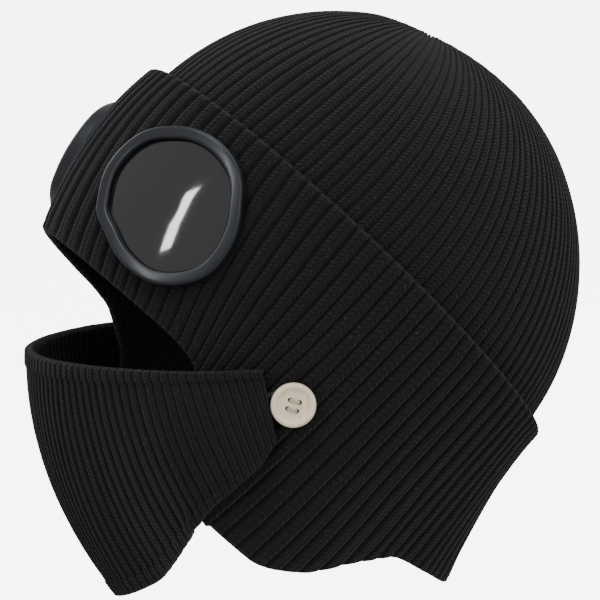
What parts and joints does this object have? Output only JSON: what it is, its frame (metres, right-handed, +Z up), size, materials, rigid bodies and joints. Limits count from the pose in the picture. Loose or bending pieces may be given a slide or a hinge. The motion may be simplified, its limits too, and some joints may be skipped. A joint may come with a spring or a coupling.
{
  "type": "knitted aviator hat",
  "caption": "Ribbed knit hood with a deep folded cuff over brow, ears and nape, goggles on the brow and a knitted face mask that buttons to the cuff.",
  "frame": {"origin": "inside top of the crown, where the top of the wearer's head bears", "axes": "+Z up, the wearer faces -Y, the wearer's left is +X"},
  "size_m": [0.177, 0.2408, 0.2481],
  "materials": {
    "knit": "ribbed wool-like knit, matt with fine fuzz",
    "rim": "dark gunmetal, satin",
    "lens": "dark tinted, polished",
    "button": "pale turned wood, satin",
    "thread": "beige sewing thread"
  },
  "bodies": {
    "root": {"crown": "knit", "cuff": "knit", "face_mask": "knit", "goggle_rim_left": "rim", "goggle_rim_right": "rim", "goggle_lens_left": "lens", "goggle_lens_right": "lens", "button_left": "button", "button_right": "button", "button_thread_left": "thread", "button_thread_right": "thread"}
  },
  "joints": []
}
